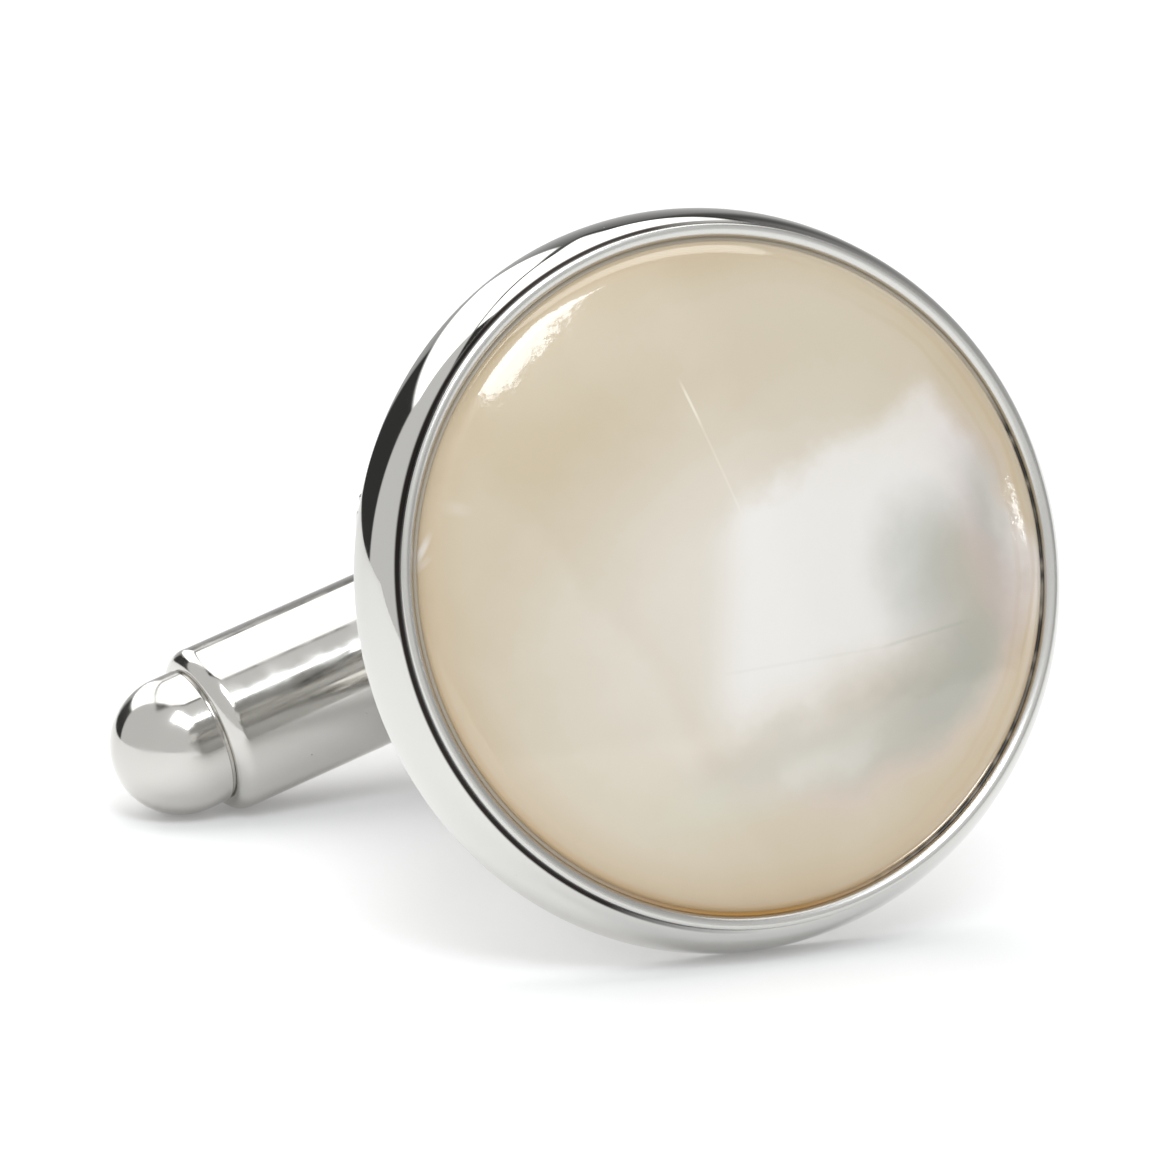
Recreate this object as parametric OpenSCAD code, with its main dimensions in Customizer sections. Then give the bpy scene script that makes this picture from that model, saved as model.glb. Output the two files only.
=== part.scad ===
// Cufflink with a round shell cabochon in a polished cup, a U-shaped
// shank soldered to the back, and a bullet-ended toggle bar that swings
// on a pin between the ends of the shank's two legs.
// Units are millimetres. It lies on the floor as it comes to rest:
// on the cup's back edge, one leg's end and one end of the toggle bar.
// +Z is up and the floor is z = 0. The face looks towards -Y, tipped
// slightly up. The origin is the centre of the footprint's box.

/* [Cup] */
// outside radius of the cup, widest at its back
cup_r = 9.18; // [8.8:0.02:9.4]
// depth of the cup from the lip's front to the back
cup_t = 2.05; // [2:0.05:2.4]
// radius of the bowed wall, seen in section
wall_r = 3.5; // [3:0.1:5]
// radius of the wall's rounded front, seen in section
rim_r = 1; // [0.8:0.05:1.2]
// angle at which the wall passes into its rounded front
rim_turn = 21; // [15:1:25]
// outside radius of the lip that holds the stone
lip_out = 8.62; // [8.6:0.01:8.7]
// inside radius of the lip
lip_in = 8.27; // [8.2:0.01:8.3]
// radius of the lip's rounding on the stone's side
lip_r = 0.24; // [0.1:0.01:0.3]
// radius of the lip's small rounding on the outside
lip_edge = 0.05; // [0.03:0.01:0.08]
// thickness of the cup's floor
floor_t = 0.8; // [0.7:0.05:0.95]
// radius of the rounded back edge
back_r = 0.15; // [0.08:0.01:0.2]

/* [Stone] */
// radial gap between the stone and the lip
stone_gap = 0.07; // [0.04:0.01:0.12]
// height of the dome in front of the lip
dome_out = 1.3; // [1:0.1:1.6]
// radius of the dome's sphere
dome_r = 28; // [24:0.5:36]
// distance from the middle to the dome's soft shoulder
soft_at = 7.6; // [7.2:0.1:7.8]
// radius of the soft shoulder, seen in section
soft_r = 1.1; // [0.8:0.05:1.4]

/* [Shank] */
// distance from the lip's front to the pin's axis
pin_w = 19.9; // [18.5:0.1:21]
// distance from the shank's middle to the inner faces of the legs
leg_in = 2.45; // [2.4:0.01:2.5]
// distance from the shank's middle to the outer faces of the legs
leg_out = 4.15; // [4.05:0.01:4.2]
// half the width of a leg at its inner face
leg_half = 1.65; // [1.5:0.05:1.7]
// half the width of a leg's domed outer strip
cap_half = 1.23; // [1.1:0.01:1.26]
// rise of the domed outer strip
cap_rise = 0.52; // [0.45:0.01:0.55]
// how far the bend's crown sinks into the collar and the cup
bend_sink = 0.2; // [0.1:0.05:0.4]
// how far the leg's round end lies past the pin's axis
end_past = 0.29; // [0.1:0.01:0.4]
// depth of the trough in each inner face
trough_deep = 0.62; // [0.4:0.02:0.7]
// half the width of the trough
trough_half = 1.15; // [0.9:0.05:1.2]

/* [Collar] */
// radius of the collar under the bend
collar_r = 2.25; // [2:0.05:2.4]
// height of the collar
collar_h = 0.8; // [0.5:0.05:0.9]
// radius of the turned bead at the collar's foot
bead_r = 0.24; // [0.18:0.01:0.28]

/* [Pin] */
// radius of the pin's shaft
pin_r = 0.6; // [0.5:0.05:0.7]
// radial gap between the pin and the toggle bar
pin_run = 0.05; // [0.02:0.01:0.1]
// gap around the pin's shaft and heads in the legs
pin_gap = 0.03; // [0.02:0.01:0.05]
// width of the pin's heads across the leg
head_across = 1.7; // [1.4:0.1:1.8]
// length of the pin's heads along the leg
head_along = 1.9; // [1.6:0.1:2.1]
// height of the heads above the leg
head_proud = 0.06; // [0.03:0.01:0.1]

/* [Toggle] */
// radius of the bar
bar_r = 2.25; // [2.1:0.01:2.3]
// distance from the pin to the bar's shoulder
shoulder_x = 7.7; // [7:0.1:8]
// radius of the rounded shoulder
shoulder_r = 0.5; // [0.4:0.05:0.6]
// radius of the bullet end
bullet_r = 1.85; // [1.7:0.01:1.9]
// distance from the pin to the bullet end's centre
bullet_x = 8.35; // [8.3:0.05:8.6]
// width of the groove behind the bullet end
groove_w = 0.1; // [0.06:0.01:0.15]

/* [Hidden] */
$fn = 96;
over = 1;

// resting attitude and place, measured on this geometry
roll_over = 16.867;
lean_back = 14.991;
rest_x = 0;
rest_y = -9.896;
rest_z = 9.359;

// the rounded front and the back edge are set 0.01 in, so that no two
// faces only just touch
wall_c = [cup_r - wall_r, cup_t - back_r];
rim_c = wall_c + (wall_r - rim_r - 0.01) * [cos(rim_turn), -sin(rim_turn)];
rim_w = rim_c[1] - rim_r * sin(rim_turn);
floor_w = cup_t - floor_t;
girdle_r = lip_in - stone_gap;
stone_back = floor_w - 0.03;
dome_c = dome_r - dome_out;
soft_turn = asin(soft_at / dome_r);
soft_c = [(dome_r - soft_r) * sin(soft_turn), dome_c - (dome_r - soft_r) * cos(soft_turn)];
soft_w = soft_c[1] - sqrt(soft_r * soft_r - pow(girdle_r - soft_c[0], 2));
cap_r = (cap_rise * cap_rise + cap_half * cap_half) / (2 * cap_rise);
cap_c = leg_out - cap_r;
side_slope = (leg_half - cap_half) / (leg_out - cap_rise - leg_in);
bend_w = cup_t + leg_out - bend_sink;
end_w = pin_w + end_past;
leg_edge = 0.08;
trough_r = (trough_half * trough_half + trough_deep * trough_deep) / (2 * trough_deep);
trough_c = leg_in + trough_deep - trough_r;
trough_from = bend_w + 2.2;
trough_to = pin_w - 3.6;
head_floor = leg_out - cap_rise - 0.05;
bore_r = pin_r + pin_run;

// the cufflink is drawn upright: face towards -Y, post along Y,
// pin along Z and toggle bar along X, and this lays it down
module lay_down() {
    translate([rest_x, rest_y, rest_z])
        rotate([-lean_back, 0, 0])
            rotate([0, -roll_over, 0])
                children();
}

// turned about the post's axis: profile x is the radius, y the depth
module turned() {
    rotate([-90, 0, 0])
        rotate_extrude($fn = 192)
            children();
}

// section of a leg: x is across from the middle, y is half the width
module leg_section() {
    intersection() {
        polygon([
            [leg_in, -leg_half + leg_edge],
            [leg_in + leg_edge, -leg_half],
            [leg_out + over, -leg_half + side_slope * (leg_out + over - leg_in)],
            [leg_out + over, leg_half - side_slope * (leg_out + over - leg_in)],
            [leg_in + leg_edge, leg_half],
            [leg_in, leg_half - leg_edge]
        ]);
        translate([cap_c, 0])
            circle(r = cap_r, $fn = 128);
    }
}

// the same section halved and stood up, for the leg's round end
module end_section() {
    intersection() {
        polygon([
            [0, leg_in],
            [leg_half - leg_edge, leg_in],
            [leg_half, leg_in + leg_edge],
            [leg_half - side_slope * (leg_out + over - leg_in), leg_out + over],
            [0, leg_out + over]
        ]);
        translate([0, cap_c])
            circle(r = cap_r, $fn = 128);
    }
}

module leg() {
    // straight run from the bend to the round end
    translate([0, bend_w, 0])
        rotate([-90, -90, 0])
            linear_extrude(height = end_w - bend_w)
                leg_section();
    translate([0, end_w, 0])
        rotate_extrude()
            end_section();
}

module leg_cuts() {
    // trough with round ends
    trough();
    // bore and head pocket for the pin
    translate([0, pin_w, leg_in - over])
        cylinder(r = pin_r + pin_gap, h = leg_out - leg_in + over);
    translate([
        -head_across / 2 - pin_gap,
        pin_w - head_along / 2 - pin_gap,
        head_floor - pin_gap
    ])
        cube([
            head_across + 2 * pin_gap,
            head_along + 2 * pin_gap,
            leg_out
        ]);
}

module trough() {
    translate([0, trough_from, trough_c])
        rotate([-90, 0, 0])
            cylinder(r = trough_r, h = trough_to - trough_from);
    translate([0, trough_from, trough_c])
        sphere(r = trough_r);
    translate([0, trough_to, trough_c])
        sphere(r = trough_r);
}

module both_legs() {
    children();
    mirror([0, 0, 1])
        children();
}

module cup() {
    turned() {
        // floor, bowed wall, rounded front and back edge
        square_from([0, floor_w], [cup_r - back_r - 0.01, cup_t]);
        difference() {
            union() {
                intersection() {
                    translate(wall_c)
                        circle(r = wall_r, $fn = 360);
                    square_from([lip_in - 1, rim_w], [cup_r + over, cup_t - back_r]);
                }
                intersection() {
                    translate(rim_c)
                        circle(r = rim_r, $fn = 128);
                    square_from([lip_in - 1, 0], [cup_r + over, rim_w]);
                }
            }
            square_from([lip_in - 2, -over], [lip_in, floor_w]);
        }
        translate([cup_r - back_r - 0.01, cup_t - back_r])
            circle(r = back_r, $fn = 48);
        // lip
        square_from([lip_in, lip_r], [lip_out, floor_w]);
        square_from([lip_in + lip_r, 0], [lip_out - lip_edge, floor_w]);
        square_from([lip_in + lip_r, lip_edge], [lip_out, floor_w]);
        intersection() {
            translate([lip_in + lip_r, lip_r])
                circle(r = lip_r, $fn = 64);
            square([lip_in + lip_r, lip_r]);
        }
        translate([lip_out - lip_edge, lip_edge])
            circle(r = lip_edge, $fn = 32);
    }
}

module square_from(low, high) {
    translate(low)
        square(high - low);
}

module collar() {
    turned() {
        translate([0, cup_t - 0.3])
            square([collar_r, collar_h + 0.3]);
        translate([collar_r + 0.06, cup_t + bead_r - 0.02])
            circle(r = bead_r, $fn = 48);
    }
}

module bend() {
    translate([0, bend_w, 0])
        rotate([0, -90, 180])
            rotate_extrude(angle = 180, $fn = 192)
                leg_section();
}

module setting() {
    color([0.82, 0.82, 0.81])
    lay_down()
    difference() {
        union() {
            cup();
            collar();
            // the bend stops at the cup's floor, clear of the stone
            intersection() {
                bend();
                translate([-cup_r, floor_w + 0.1, -cup_r])
                    cube([2 * cup_r, 3 * cup_r, 2 * cup_r]);
            }
            both_legs()
                leg();
        }
        both_legs()
            leg_cuts();
    }
}

module pearl_cabochon() {
    color([0.85, 0.81, 0.73])
    lay_down()
    turned()
    intersection() {
        polygon([
            [0, stone_back],
            [girdle_r - 0.15, stone_back],
            [girdle_r, stone_back - 0.15],
            [girdle_r, -dome_out - over],
            [0, -dome_out - over]
        ]);
        translate([0, dome_c])
            circle(r = dome_r, $fn = 720);
        union() {
            square_from([0, -dome_out - over], [soft_at, stone_back]);
            translate(soft_c)
                circle(r = soft_r, $fn = 128);
            square_from([0, soft_w], [girdle_r, stone_back]);
        }
    }
}

module pivot_pin() {
    color([0.74, 0.74, 0.73])
    lay_down()
    translate([0, pin_w, 0]) {
        cylinder(r = pin_r, h = 2 * head_floor, center = true);
        both_legs()
            pin_head();
    }
}

module pin_head() {
    intersection() {
        translate([-head_across / 2, -head_along / 2, head_floor - 0.01])
            cube([head_across, head_along, leg_out]);
        translate([0, 0, cap_c])
            rotate([90, 0, 0])
                cylinder(r = cap_r + head_proud, h = 3 * head_along, center = true);
    }
}

// half of the toggle bar's outline: x is the radius, y the distance out
module bar_half() {
    square([bar_r - shoulder_r, shoulder_x]);
    square([bar_r, shoulder_x - shoulder_r + 0.05]);
    intersection() {
        translate([bar_r - shoulder_r, shoulder_x - shoulder_r + 0.05])
            circle(r = shoulder_r, $fn = 64);
        square([bar_r, shoulder_x]);
    }
    square([bullet_r - 0.1, bullet_x]);
    translate([0, shoulder_x + groove_w])
        square([bullet_r, bullet_x - shoulder_x - groove_w]);
    intersection() {
        translate([0, bullet_x])
            circle(r = bullet_r, $fn = 128);
        translate([0, bullet_x - 0.1])
            square([bullet_r, bullet_r + over]);
    }
}

module toggle_bar() {
    color([0.84, 0.84, 0.83])
    lay_down()
    translate([0, pin_w, 0])
    difference() {
        rotate([0, 90, 0])
            rotate_extrude($fn = 128) {
                bar_half();
                mirror([0, 1])
                    bar_half();
            }
        cylinder(r = bore_r, h = 4 * bar_r, center = true);
    }
}

setting();
pearl_cabochon();
pivot_pin();
toggle_bar();
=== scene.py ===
import math
import bpy
import numpy as np
from mathutils import Matrix


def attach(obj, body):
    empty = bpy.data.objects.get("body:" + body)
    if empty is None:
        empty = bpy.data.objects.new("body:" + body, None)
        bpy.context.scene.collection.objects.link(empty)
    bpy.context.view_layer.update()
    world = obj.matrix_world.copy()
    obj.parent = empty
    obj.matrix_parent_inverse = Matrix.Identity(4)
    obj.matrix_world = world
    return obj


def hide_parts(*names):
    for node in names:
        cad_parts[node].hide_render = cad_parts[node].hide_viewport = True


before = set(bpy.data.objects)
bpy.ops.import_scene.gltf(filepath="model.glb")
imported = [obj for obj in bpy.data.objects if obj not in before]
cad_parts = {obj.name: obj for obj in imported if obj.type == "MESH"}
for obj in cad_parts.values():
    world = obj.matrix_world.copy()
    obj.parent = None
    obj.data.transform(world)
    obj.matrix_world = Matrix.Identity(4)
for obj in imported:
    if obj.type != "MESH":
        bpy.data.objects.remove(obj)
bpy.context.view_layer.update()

# A cufflink lying at rest: a cream mother-of-pearl stone in a mirror
# polished cup, with a U-shaped shank and a bullet-ended toggle bar.
# Shapes are worked out in millimetres on an upright cufflink, whose face
# looks along -Y, shank runs along +Y and pin stands along Z, and then
# laid down to the attitude that the solids rest in.

mm = 0.001   # metres

attitude = {
    "rollOver": 16.867,  # degrees about the shank
    "leanBack": 14.991,  # degrees, face up
    "alongY": -9.896,   # mm
    "liftZ": 9.359,   # mm
}


def turnX(degrees):
    # rotation about X, from Y towards Z
    a = math.radians(degrees)
    return np.array([[1, 0, 0], [0, math.cos(a), -math.sin(a)], [0, math.sin(a), math.cos(a)]])


def turnY(degrees):
    # rotation about Y, from Z towards X
    a = math.radians(degrees)
    return np.array([[math.cos(a), 0, math.sin(a)], [0, 1, 0], [-math.sin(a), 0, math.cos(a)]])


layMatrix = turnX(-attitude["leanBack"]) @ turnY(-attitude["rollOver"])


def layDown(points):
    # turned, moved, and from millimetres to metres
    return (points @ layMatrix.T + [0, attitude["alongY"], attitude["liftZ"]]) * mm


# Making meshes


def straight(start, end, count=2, ease=0.02):
    # evenly spaced points from start to end, with one more close to each
    # end, so that a flat stays flat beside a rounded edge
    start, end = np.array(start, float), np.array(end, float)
    near = min(ease / np.linalg.norm(end - start), 0.2)   # as a share of the way
    t = np.concatenate([[0, near], np.linspace(0, 1, count + 1)[1:-1], [1 - near, 1]])
    return start + np.outer(t, end - start)


def bow(centre, radius, start, end, count):
    # points on a circle, from one angle in degrees to another
    a = np.radians(np.linspace(start, end, count))
    return np.array(centre) + radius * np.stack([np.cos(a), np.sin(a)], 1)


def softCorner(corner, wayIn, wayOut, radius, count):
    # arc of the radius that touches the two straight ways at a corner
    wayIn = np.array(wayIn, float) / np.linalg.norm(wayIn)
    wayOut = np.array(wayOut, float) / np.linalg.norm(wayOut)
    side = np.sign(wayIn[0] * wayOut[1] - wayIn[1] * wayOut[0])
    turn = math.acos(np.clip(wayIn @ wayOut, -1, 1))
    inward = side * np.array([-wayIn[1], wayIn[0]])
    centre = np.array(corner) - wayIn * radius * math.tan(turn / 2) + inward * radius
    a = np.linspace(0, turn, count)[:, None]
    return centre - inward * radius * np.cos(a) + wayIn * radius * np.sin(a)


def outline(*parts):
    # joins the parts of a profile and drops points that repeat
    points = np.concatenate(parts)
    step = np.linalg.norm(np.diff(points, axis=0), axis=1)
    return points[np.concatenate([[True], step > 1e-6])]


def gridFaces(rows, columns):
    # quads between neighbours of a grid whose columns close on themselves
    r, c = np.meshgrid(np.arange(rows - 1), np.arange(columns), indexing="ij")
    beside = (c + 1) % columns
    corners = [(r, c), (r + 1, c), (r + 1, beside), (r, beside)]
    return np.stack([row * columns + column for row, column in corners], -1).reshape(-1, 4)


def turned(profile, count, axis):
    # profile carried round an axis: x = radius * cos a, y = depth,
    # z = radius * sin a, with the depth laid along the named axis
    a = np.linspace(0, 2 * np.pi, count, endpoint=False)
    radius, depth = profile[:, :1], profile[:, 1:]
    across, up = radius * np.cos(a), radius * np.sin(a)
    along = depth + 0 * across
    order = {"X": (along, across, up), "Y": (across, along, up), "Z": (across, up, along)}[axis]
    return np.stack(order, -1).reshape(-1, 3), gridFaces(len(profile), count)


def addObject(name, data):
    # an object of that name in the scene
    made = bpy.data.objects.new(name, data)
    bpy.context.scene.collection.objects.link(made)
    return made


def putPiece(name, shells, material, body, node, uv=None, marks=None):
    # shells are (points, quads) in upright millimetres; points that meet
    # at a pole or seam become one, and a quad there loses that corner
    points = np.concatenate([p for p, q in shells])
    starts = np.cumsum([0] + [len(p) for p, q in shells])
    quads = []
    for (p, q), start in zip(shells, starts):
        # the volume comes out negative where the quads point inwards
        a, b, c, d = (p[q[:, k]] for k in range(4))
        volume = np.einsum("ij,ij->i", a, np.cross(b, c) + np.cross(c, d)).sum()
        quads.append((q if volume > 0 else q[:, ::-1]) + start)
    quads = np.concatenate(quads)
    stepsPerMm = 1e5   # points on the same step are one
    keys = np.round(points * stepsPerMm).astype(np.int64)
    keys, first, same = np.unique(keys, axis=0, return_index=True, return_inverse=True)
    corners = same.reshape(-1)[quads]
    kept = corners != np.roll(corners, -1, axis=1)
    corners, kept = corners[kept.sum(1) > 2], kept[kept.sum(1) > 2]
    sizes, loops = kept.sum(1), corners[kept]
    mesh = bpy.data.meshes.new(name)
    mesh.vertices.add(len(first))
    mesh.vertices.foreach_set("co", layDown(points[first]).astype(np.float32).ravel())
    mesh.loops.add(len(loops))
    mesh.loops.foreach_set("vertex_index", loops.astype(np.int32))
    mesh.polygons.add(len(sizes))
    mesh.polygons.foreach_set("loop_start", np.concatenate([[0], np.cumsum(sizes)[:-1]]).astype(np.int32))
    mesh.polygons.foreach_set("use_smooth", np.ones(len(sizes), bool))
    if uv is not None:
        layer = mesh.uv_layers.new(name="face")
        layer.data.foreach_set("uv", uv(points[first])[loops].astype(np.float32).ravel())
    for mark, values in (marks or {}).items():
        layer = mesh.attributes.new(mark, "FLOAT", "POINT")
        layer.data.foreach_set("value", values[first].astype(np.float32))
    mesh.update(calc_edges=True)
    mesh.validate()
    mesh.materials.append(material)
    piece = addObject(name, mesh)
    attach(piece, body)
    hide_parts(node)
    print("made", name, "with", len(sizes), "faces")
    return piece


def grain(u, v, cell, seed):
    # smooth random heights from -1 to 1 on a lattice of the given cell:
    # the four corners' values are blended with an eased weight
    size = 64   # cells before the lattice repeats
    table = np.random.default_rng(seed).uniform(-1, 1, (size, size))
    u, v = u / cell, v / cell
    i, j = np.floor(u).astype(int), np.floor(v).astype(int)
    s, t = u - i, v - j
    s, t = s * s * (3 - 2 * s), t * t * (3 - 2 * t)
    low = table[i % size, j % size] * (1 - s) + table[(i + 1) % size, j % size] * s
    high = table[i % size, (j + 1) % size] * (1 - s) + table[(i + 1) % size, (j + 1) % size] * s
    return low * (1 - t) + high * t


def ramp(values, start, width):
    # 0 up to start, then straight up to 1 over width; with a negative
    # width it climbs the other way
    return np.clip((values - start) / width, 0, 1)


def bearing(points):
    # degrees about the face's middle, from +X towards +Z
    return np.degrees(np.arctan2(points[:, 2], points[:, 0])) % 360


# Making materials


def linear(hexColour):
    # sRGB hex to linear, by the standard's straight foot and power curve
    c = np.array([int(hexColour[k:k + 2], 16) for k in (1, 3, 5)]) / 255
    return (*np.where(c < 0.04045, c / 12.92, ((c + 0.055) / 1.055) ** 2.4), 1.0)


def feed(tree, node, sockets):
    # each socket, by name or number, gets an output's link or a value
    for key, source in sockets.items():
        if isinstance(source, bpy.types.NodeSocket):
            tree.links.new(source, node.inputs[key])
        else:
            node.inputs[key].default_value = source


def addNode(tree, kind, settings=None, links=None):
    # a node with its settings (sockets by name or number, or properties)
    # and its links (socket to the output that feeds it, or to a value)
    node = tree.nodes.new("ShaderNode" + kind)
    for key, value in (settings or {}).items():
        if isinstance(key, str) and hasattr(node, key) and key not in node.inputs:
            setattr(node, key, value)
    for key, value in (settings or {}).items():
        if isinstance(key, int) or key in node.inputs:
            node.inputs[key].default_value = value
    feed(tree, node, links or {})
    return node


def newMaterial(name):
    # one shader on the surface, still at its defaults
    material = bpy.data.materials.new(name)
    material.use_nodes = True
    tree = material.node_tree
    tree.nodes.clear()
    shader = addNode(tree, "BsdfPrincipled")
    addNode(tree, "OutputMaterial", links={"Surface": shader.outputs[0]})
    return material, tree, shader


def reopened(material):
    # a finished material's tree and shader, and what feeds its colour and
    # its roughness so far
    tree = material.node_tree
    shader = next(n for n in tree.nodes if n.type == "BSDF_PRINCIPLED")
    colour, rough = (shader.inputs[key].links[0].from_socket for key in ("Base Color", "Roughness"))
    return tree, shader, colour, rough


def perMetre(spacing):
    # a pattern's scale from its spacing in millimetres
    return 1000 / spacing


plateLook = {
    "colour": "#D3D2CF",   # white plate, a touch warm
    "dust": "#8C8984",
    "roughness": 0.045,
    "swell": 3.0,   # mm between the polisher's swells
    "swellHeight": 0.0035,   # mm
    "hazeScale": 1400.0,   # per metre: patches of 0.7 mm, coarse enough to show
    "clearest": 0.7,   # roughness between the patches and in them, as shares
    "haziest": 1.6,
    "dustSpacing": 0.9,   # mm between specks of dust
}


def polishedPlate(name, colour, roughness):
    # white plate on a buffed casting: a mirror whose reflections wander a
    # little over the buffing wheel's swells, with a few specks of dust
    look = plateLook
    material, tree, shader = newMaterial(name)
    onPiece = {"Vector": addNode(tree, "TexCoord").outputs["Object"]}
    swell = addNode(tree, "TexNoise", {"Scale": perMetre(look["swell"]), "Detail": 1.0}, onPiece)
    bump = addNode(tree, "Bump", {"Strength": 1.0, "Distance": look["swellHeight"] * mm},
                   {"Height": swell.outputs[0]})
    haze = addNode(tree, "TexNoise", {"Scale": look["hazeScale"], "Detail": 4.0}, onPiece)
    rough = addNode(tree, "MapRange",
                    {"From Min": 0.35, "From Max": 0.75,
                     "To Min": roughness * look["clearest"], "To Max": roughness * look["haziest"]},
                    {"Value": haze.outputs[0]})
    dust = addNode(tree, "TexVoronoi", {"Scale": perMetre(look["dustSpacing"])}, onPiece)
    speck = addNode(tree, "MapRange", {"From Min": 0.035, "From Max": 0.02},
                    {"Value": dust.outputs["Distance"]}).outputs[0]
    tint = addNode(tree, "Mix", {"data_type": "RGBA", 6: linear(colour), 7: linear(look["dust"])},
                   {0: speck})
    matt = addNode(tree, "Math", {"operation": "MULTIPLY_ADD", 1: 0.5},
                   {0: speck, 2: rough.outputs[0]})
    feed(tree, shader, {"Metallic": 1.0, "Base Color": tint.outputs[2], "Roughness": matt.outputs[0],
                        "Normal": bump.outputs[0]})
    return material


def overlay(material, mark, colour, roughness):
    # another finish laid over a finished material where the mesh is marked
    tree, shader, oldColour, oldRough = reopened(material)
    share = addNode(tree, "Attribute", {"attribute_name": mark}).outputs["Fac"]
    newColour = addNode(tree, "Mix", {"data_type": "RGBA", 7: linear(colour)},
                        {0: share, 6: oldColour})
    newRough = addNode(tree, "Mix", {"data_type": "FLOAT", 3: roughness}, {0: share, 2: oldRough})
    feed(tree, shader, {"Base Color": newColour.outputs[2], "Roughness": newRough.outputs[0]})


shankLook = {
    "colour": "#D3D2CF",
    "castColour": "#CFCDC8",   # plate over the unpolished casting skin
    "castShade": "#8E8A84",   # the same, as painted shade between its bumps
    "pitColour": "#1B1917",   # near black, in the casting's pits
    "castRoughness": 0.34,
    "skinGrain": 0.22,   # mm between bumps of the casting skin
    "skinHeight": 0.06,   # mm
}


def castAndPolished(name):
    # the shank: buffed outside, with the as-cast skin left in the trough,
    # told apart by the mesh's own marks
    look = shankLook
    material = polishedPlate(name, look["colour"], plateLook["roughness"])
    tree, shader, oldColour, oldRough = reopened(material)
    oldNormal = shader.inputs["Normal"].links[0].from_socket
    onPiece = {"Vector": addNode(tree, "TexCoord").outputs["Object"]}
    cast = addNode(tree, "Attribute", {"attribute_name": "cast"}).outputs["Fac"]
    pit = addNode(tree, "Attribute", {"attribute_name": "pit"}).outputs["Fac"]
    skin = addNode(tree, "TexNoise",
                   {"Scale": perMetre(look["skinGrain"]), "Detail": 6.0, "Roughness": 0.62}, onPiece)
    # the skin darker where its bumps are low: painted shade in the hollows
    shade = addNode(tree, "MapRange",
                    {"From Min": 0.3, "From Max": 0.62, "To Min": 0.55, "To Max": 1.0},
                    {"Value": skin.outputs[0]})
    skinColour = addNode(tree, "Mix",
                         {"data_type": "RGBA", 6: linear(look["castShade"]), 7: linear(look["castColour"])},
                         {0: shade.outputs[0]})
    withSkin = addNode(tree, "Mix", {"data_type": "RGBA"},
                       {0: cast, 6: oldColour, 7: skinColour.outputs[2]})
    withPits = addNode(tree, "Mix", {"data_type": "RGBA", 7: linear(look["pitColour"])},
                       {0: pit, 6: withSkin.outputs[2]})
    rough = addNode(tree, "Mix", {"data_type": "FLOAT", 3: look["castRoughness"]},
                    {0: cast, 2: oldRough})
    bumps = addNode(tree, "Math", {"operation": "MULTIPLY"}, {0: skin.outputs[0], 1: cast})
    relief = addNode(tree, "Bump", {"Strength": 1.0, "Distance": look["skinHeight"] * mm},
                     {"Height": bumps.outputs[0], "Normal": oldNormal})
    feed(tree, shader, {"Base Color": withPits.outputs[2], "Roughness": rough.outputs[0],
                        "Normal": relief.outputs[0]})
    return material


# The cup and its collar

cupSize = {
    "depth": 2.05, "floorAt": 1.25, "inner": 8.27,
    "roll": 0.24,   # depth of the lip's roll towards the stone
    "crest": 8.52, "bezel": 8.62, "step": 0.27,   # front, outside and height of the lip
    "brow": 0.05, "browTurn": 74,   # the lip's rounded outer edge
    "stepTop": 0.07, "stepIn": 0.008, "stepOut": 0.035,   # the step leans outwards
    "fillet": 0.015,   # at the step's foot
    "radius": 9.18, "wall": 3.5,   # the bowed wall and its arc
    "front": 1.0, "frontFrom": 50, "frontTurn": 21,  # the rounded front's arc, in degrees
    "backTurn": 0.15,
    "collar": 2.25, "collarHeight": 0.8, "collarRoot": 0.2, "collarTop": 0.1,
    "bead": 0.24, "beadOut": 0.06, "beadSunk": 0.02,
    "around": 384,
}


def cupShell():
    # profile from the floor's middle up the inner wall, over the lip
    # (inside, radius = crest - (crest - inner) cos a, depth = roll *
    # (1 - sin a)), down its steep step, out over the rounded front and
    # down the bowed wall, which are two arcs that touch, round the back
    # edge and to the middle of the back, then turned
    c = cupSize
    a = np.radians(np.linspace(12, 90, 24))
    roll = np.stack([c["crest"] - (c["crest"] - c["inner"]) * np.cos(a), c["roll"] * (1 - np.sin(a))], 1)
    a = np.radians(np.linspace(0, c["browTurn"], 10))[1:]
    brow = np.stack([c["crest"] + (c["bezel"] - c["crest"]) * np.sin(a), c["brow"] * (1 - np.cos(a))], 1)
    stepTop = (c["bezel"] + c["stepIn"], c["stepTop"])
    stepFoot = (c["bezel"] + c["stepOut"], c["step"])
    wallAt = np.array([c["radius"] - c["wall"], c["depth"] - c["backTurn"]])
    turn = math.radians(c["frontTurn"])
    frontAt = wallAt + (c["wall"] - c["front"]) * np.array([math.cos(turn), -math.sin(turn)])
    front = bow(frontAt, c["front"], -c["frontFrom"], -c["frontTurn"], 26)
    crossing = front[0] + [-0.01, -0.012]
    heel = (c["radius"] - c["backTurn"], c["depth"] - c["backTurn"])
    profile = outline(
        straight((0, c["floorAt"]), (c["inner"], c["floorAt"]), 12),
        straight((c["inner"], c["floorAt"]), (c["inner"], c["roll"]), 3),
        roll,
        brow,
        straight(stepTop, stepFoot, 2, 0.01),
        softCorner(crossing, (0.15, 1), (1, 0.8), c["fillet"], 6),
        front,
        bow(wallAt, c["wall"], -c["frontTurn"], 0, 22),
        bow(heel, c["backTurn"], 0, 90, 11),
        straight((heel[0], c["depth"]), (0, c["depth"]), 16),
    )
    return turned(profile, c["around"], "Y")


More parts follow.
